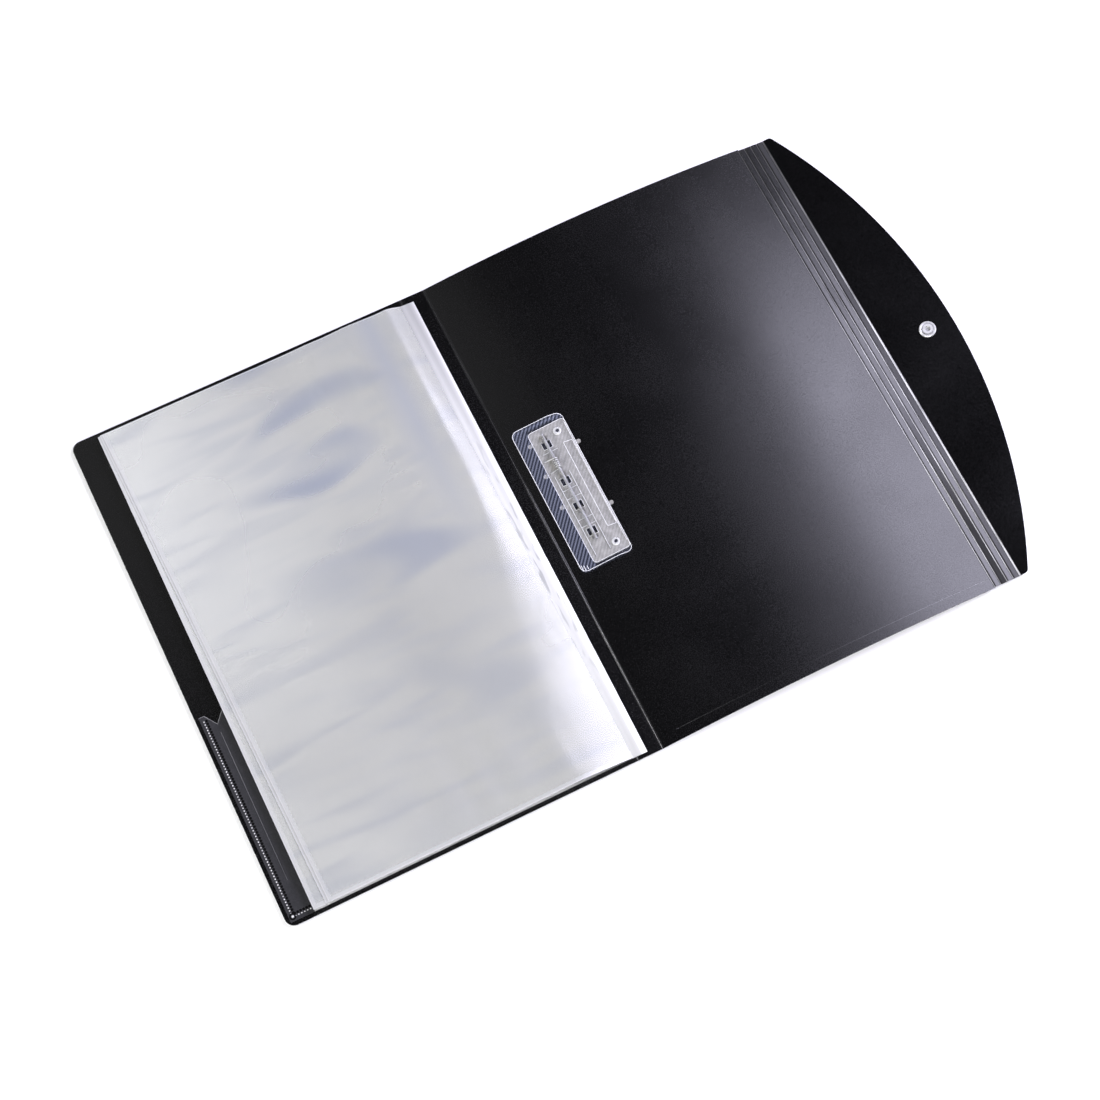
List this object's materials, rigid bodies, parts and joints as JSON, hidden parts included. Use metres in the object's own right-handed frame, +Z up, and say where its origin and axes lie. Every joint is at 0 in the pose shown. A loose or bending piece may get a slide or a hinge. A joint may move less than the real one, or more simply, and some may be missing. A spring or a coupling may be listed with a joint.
{
  "type": "clear pocket display book",
  "caption": "Open display book: scored black plastic cover with gusset and press-stud flap, a stack of hinged clear pockets on the front cover and a spring clip beside the spine.",
  "frame": {"origin": "middle of the open book's footprint, at the lowest point of the stud under the front cover", "axes": "+X across the open book from the front cover to the closing flap, +Y up the page, +Z up out of the inside"},
  "size_m": [0.5397, 0.34, 0.0133],
  "materials": {
    "cover_plastic": "satin fine-grain polypropylene",
    "pocket_film": "clear glossy film",
    "clip_plastic": "clear moulded plastic",
    "clip_steel": "drawn wire",
    "rivet_metal": "nickel plate",
    "snap_metal": "bright nickel plate"
  },
  "bodies": {
    "front_cover": {"front_cover": "cover_plastic", "inner_pocket": "cover_plastic", "snap_stud": "snap_metal", "snap_eyelet": "snap_metal"},
    "spine": {"spine_panel": "cover_plastic", "binding_strip": "pocket_film"},
    "back_cover": {"back_cover": "cover_plastic", "clip_base": "clip_plastic", "clip_pin": "clip_steel", "clip_spring": "clip_steel", "clip_rivets": "rivet_metal"},
    "clip_lever": {"clip_lever": "clip_plastic"},
    "gusset_1": {"gusset_strip_1": "cover_plastic"},
    "gusset_2": {"gusset_strip_2": "cover_plastic"},
    "gusset_3": {"gusset_strip_3": "cover_plastic"},
    "gusset_4": {"gusset_strip_4": "cover_plastic"},
    "flap": {"closing_flap": "cover_plastic", "snap_socket": "snap_metal", "snap_cap": "snap_metal"},
    "leaf_01": {"pocket_leaf_01": "pocket_film"},
    "leaf_02": {"pocket_leaf_02": "pocket_film"},
    "leaf_03": {"pocket_leaf_03": "pocket_film"},
    "leaf_04": {"pocket_leaf_04": "pocket_film"},
    "leaf_05": {"pocket_leaf_05": "pocket_film"},
    "leaf_06": {"pocket_leaf_06": "pocket_film"},
    "leaf_07": {"pocket_leaf_07": "pocket_film"},
    "leaf_08": {"pocket_leaf_08": "pocket_film"},
    "leaf_09": {"pocket_leaf_09": "pocket_film"},
    "leaf_10": {"pocket_leaf_10": "pocket_film"},
    "leaf_11": {"pocket_leaf_11": "pocket_film"},
    "leaf_12": {"pocket_leaf_12": "pocket_film"},
    "leaf_13": {"pocket_leaf_13": "pocket_film"},
    "leaf_14": {"pocket_leaf_14": "pocket_film"},
    "leaf_15": {"pocket_leaf_15": "pocket_film"},
    "leaf_16": {"pocket_leaf_16": "pocket_film"},
    "leaf_17": {"pocket_leaf_17": "pocket_film"},
    "leaf_18": {"pocket_leaf_18": "pocket_film"},
    "leaf_19": {"pocket_leaf_19": "pocket_film"},
    "leaf_20": {"pocket_leaf_20": "pocket_film"}
  },
  "joints": [
    {"name": "spine_fold", "type": "hinge", "parent": "front_cover", "child": "spine", "pos_m": [-0.04085, 0, 0.00295], "axis": [0, -1, 0], "range_deg": [0, 90]},
    {"name": "back_fold", "type": "hinge", "parent": "spine", "child": "back_cover", "pos_m": [-0.02435, 0, 0.00295], "axis": [0, -1, 0], "range_deg": [0, 90]},
    {"name": "gusset_crease_1", "type": "hinge", "parent": "back_cover", "child": "gusset_1", "pos_m": [0.20515, 0, 0.00501], "axis": [0, -1, 0], "range_deg": [0, 85]},
    {"name": "gusset_crease_2", "type": "hinge", "parent": "gusset_1", "child": "gusset_2", "pos_m": [0.20962, 0, 0.00422], "axis": [0, -1, 0], "range_deg": [0, 4]},
    {"name": "gusset_crease_3", "type": "hinge", "parent": "gusset_2", "child": "gusset_3", "pos_m": [0.21416, 0, 0.0039], "axis": [0, -1, 0], "range_deg": [0, 14]},
    {"name": "gusset_crease_4", "type": "hinge", "parent": "gusset_3", "child": "gusset_4", "pos_m": [0.21866, 0, 0.00327], "axis": [0, -1, 0], "range_deg": [0, 6]},
    {"name": "flap_crease", "type": "hinge", "parent": "gusset_4", "child": "flap", "pos_m": [0.2232, 0, 0.00295], "axis": [0, -1, 0], "range_deg": [0, 63]},
    {"name": "clip_press", "type": "hinge", "parent": "back_cover", "child": "clip_lever", "pos_m": [-0.00127, 0, 0.01002], "axis": [0, 1, 0], "range_deg": [-12, 0], "stiffness_Nm_per_rad": 0.25, "springref_deg": 33.23, "deforming": ["clip_spring"]},
    {"name": "leaf_turn_01", "type": "hinge", "parent": "front_cover", "child": "leaf_01", "pos_m": [-0.04255, 0, 0.00798], "axis": [0, -1, 0], "range_deg": [-158, 0]},
    {"name": "leaf_turn_02", "type": "hinge", "parent": "front_cover", "child": "leaf_02", "pos_m": [-0.04255, 0, 0.00798], "axis": [0, -1, 0], "range_deg": [-150.1, 0]},
    {"name": "leaf_turn_03", "type": "hinge", "parent": "front_cover", "child": "leaf_03", "pos_m": [-0.04255, 0, 0.00798], "axis": [0, -1, 0], "range_deg": [-142.2, 0]},
    {"name": "leaf_turn_04", "type": "hinge", "parent": "front_cover", "child": "leaf_04", "pos_m": [-0.04255, 0, 0.00798], "axis": [0, -1, 0], "range_deg": [-134.3, 0]},
    {"name": "leaf_turn_05", "type": "hinge", "parent": "front_cover", "child": "leaf_05", "pos_m": [-0.04255, 0, 0.00798], "axis": [0, -1, 0], "range_deg": [-126.4, 0]},
    {"name": "leaf_turn_06", "type": "hinge", "parent": "front_cover", "child": "leaf_06", "pos_m": [-0.04255, 0, 0.00798], "axis": [0, -1, 0], "range_deg": [-118.5, 0]},
    {"name": "leaf_turn_07", "type": "hinge", "parent": "front_cover", "child": "leaf_07", "pos_m": [-0.04255, 0, 0.00798], "axis": [0, -1, 0], "range_deg": [-110.6, 0]},
    {"name": "leaf_turn_08", "type": "hinge", "parent": "front_cover", "child": "leaf_08", "pos_m": [-0.04255, 0, 0.00798], "axis": [0, -1, 0], "range_deg": [-102.7, 0]},
    {"name": "leaf_turn_09", "type": "hinge", "parent": "front_cover", "child": "leaf_09", "pos_m": [-0.04255, 0, 0.00798], "axis": [0, -1, 0], "range_deg": [-94.8, 0]},
    {"name": "leaf_turn_10", "type": "hinge", "parent": "front_cover", "child": "leaf_10", "pos_m": [-0.04255, 0, 0.00798], "axis": [0, -1, 0], "range_deg": [-86.9, 0]},
    {"name": "leaf_turn_11", "type": "hinge", "parent": "front_cover", "child": "leaf_11", "pos_m": [-0.04255, 0, 0.00798], "axis": [0, -1, 0], "range_deg": [-79, 0]},
    {"name": "leaf_turn_12", "type": "hinge", "parent": "front_cover", "child": "leaf_12", "pos_m": [-0.04255, 0, 0.00798], "axis": [0, -1, 0], "range_deg": [-71.1, 0]},
    {"name": "leaf_turn_13", "type": "hinge", "parent": "front_cover", "child": "leaf_13", "pos_m": [-0.04255, 0, 0.00798], "axis": [0, -1, 0], "range_deg": [-63.2, 0]},
    {"name": "leaf_turn_14", "type": "hinge", "parent": "front_cover", "child": "leaf_14", "pos_m": [-0.04255, 0, 0.00798], "axis": [0, -1, 0], "range_deg": [-55.3, 0]},
    {"name": "leaf_turn_15", "type": "hinge", "parent": "front_cover", "child": "leaf_15", "pos_m": [-0.04255, 0, 0.00798], "axis": [0, -1, 0], "range_deg": [-47.4, 0]},
    {"name": "leaf_turn_16", "type": "hinge", "parent": "front_cover", "child": "leaf_16", "pos_m": [-0.04255, 0, 0.00798], "axis": [0, -1, 0], "range_deg": [-39.5, 0]},
    {"name": "leaf_turn_17", "type": "hinge", "parent": "front_cover", "child": "leaf_17", "pos_m": [-0.04255, 0, 0.00798], "axis": [0, -1, 0], "range_deg": [-31.6, 0]},
    {"name": "leaf_turn_18", "type": "hinge", "parent": "front_cover", "child": "leaf_18", "pos_m": [-0.04255, 0, 0.00798], "axis": [0, -1, 0], "range_deg": [-23.7, 0]},
    {"name": "leaf_turn_19", "type": "hinge", "parent": "front_cover", "child": "leaf_19", "pos_m": [-0.04255, 0, 0.00798], "axis": [0, -1, 0], "range_deg": [-15.8, 0]},
    {"name": "leaf_turn_20", "type": "hinge", "parent": "front_cover", "child": "leaf_20", "pos_m": [-0.04255, 0, 0.00798], "axis": [0, -1, 0], "range_deg": [-7.9, 0]}
  ],
  "couplings": [
    {"joint": "leaf_turn_02", "follows": "leaf_turn_01", "ratio": 0.95},
    {"joint": "leaf_turn_03", "follows": "leaf_turn_01", "ratio": 0.9},
    {"joint": "leaf_turn_04", "follows": "leaf_turn_01", "ratio": 0.85},
    {"joint": "leaf_turn_05", "follows": "leaf_turn_01", "ratio": 0.8},
    {"joint": "leaf_turn_06", "follows": "leaf_turn_01", "ratio": 0.75},
    {"joint": "leaf_turn_07", "follows": "leaf_turn_01", "ratio": 0.7},
    {"joint": "leaf_turn_08", "follows": "leaf_turn_01", "ratio": 0.65},
    {"joint": "leaf_turn_09", "follows": "leaf_turn_01", "ratio": 0.6},
    {"joint": "leaf_turn_10", "follows": "leaf_turn_01", "ratio": 0.55},
    {"joint": "leaf_turn_11", "follows": "leaf_turn_01", "ratio": 0.5},
    {"joint": "leaf_turn_12", "follows": "leaf_turn_01", "ratio": 0.45},
    {"joint": "leaf_turn_13", "follows": "leaf_turn_01", "ratio": 0.4},
    {"joint": "leaf_turn_14", "follows": "leaf_turn_01", "ratio": 0.35},
    {"joint": "leaf_turn_15", "follows": "leaf_turn_01", "ratio": 0.3},
    {"joint": "leaf_turn_16", "follows": "leaf_turn_01", "ratio": 0.25},
    {"joint": "leaf_turn_17", "follows": "leaf_turn_01", "ratio": 0.2},
    {"joint": "leaf_turn_18", "follows": "leaf_turn_01", "ratio": 0.15},
    {"joint": "leaf_turn_19", "follows": "leaf_turn_01", "ratio": 0.1},
    {"joint": "leaf_turn_20", "follows": "leaf_turn_01", "ratio": 0.05}
  ]
}
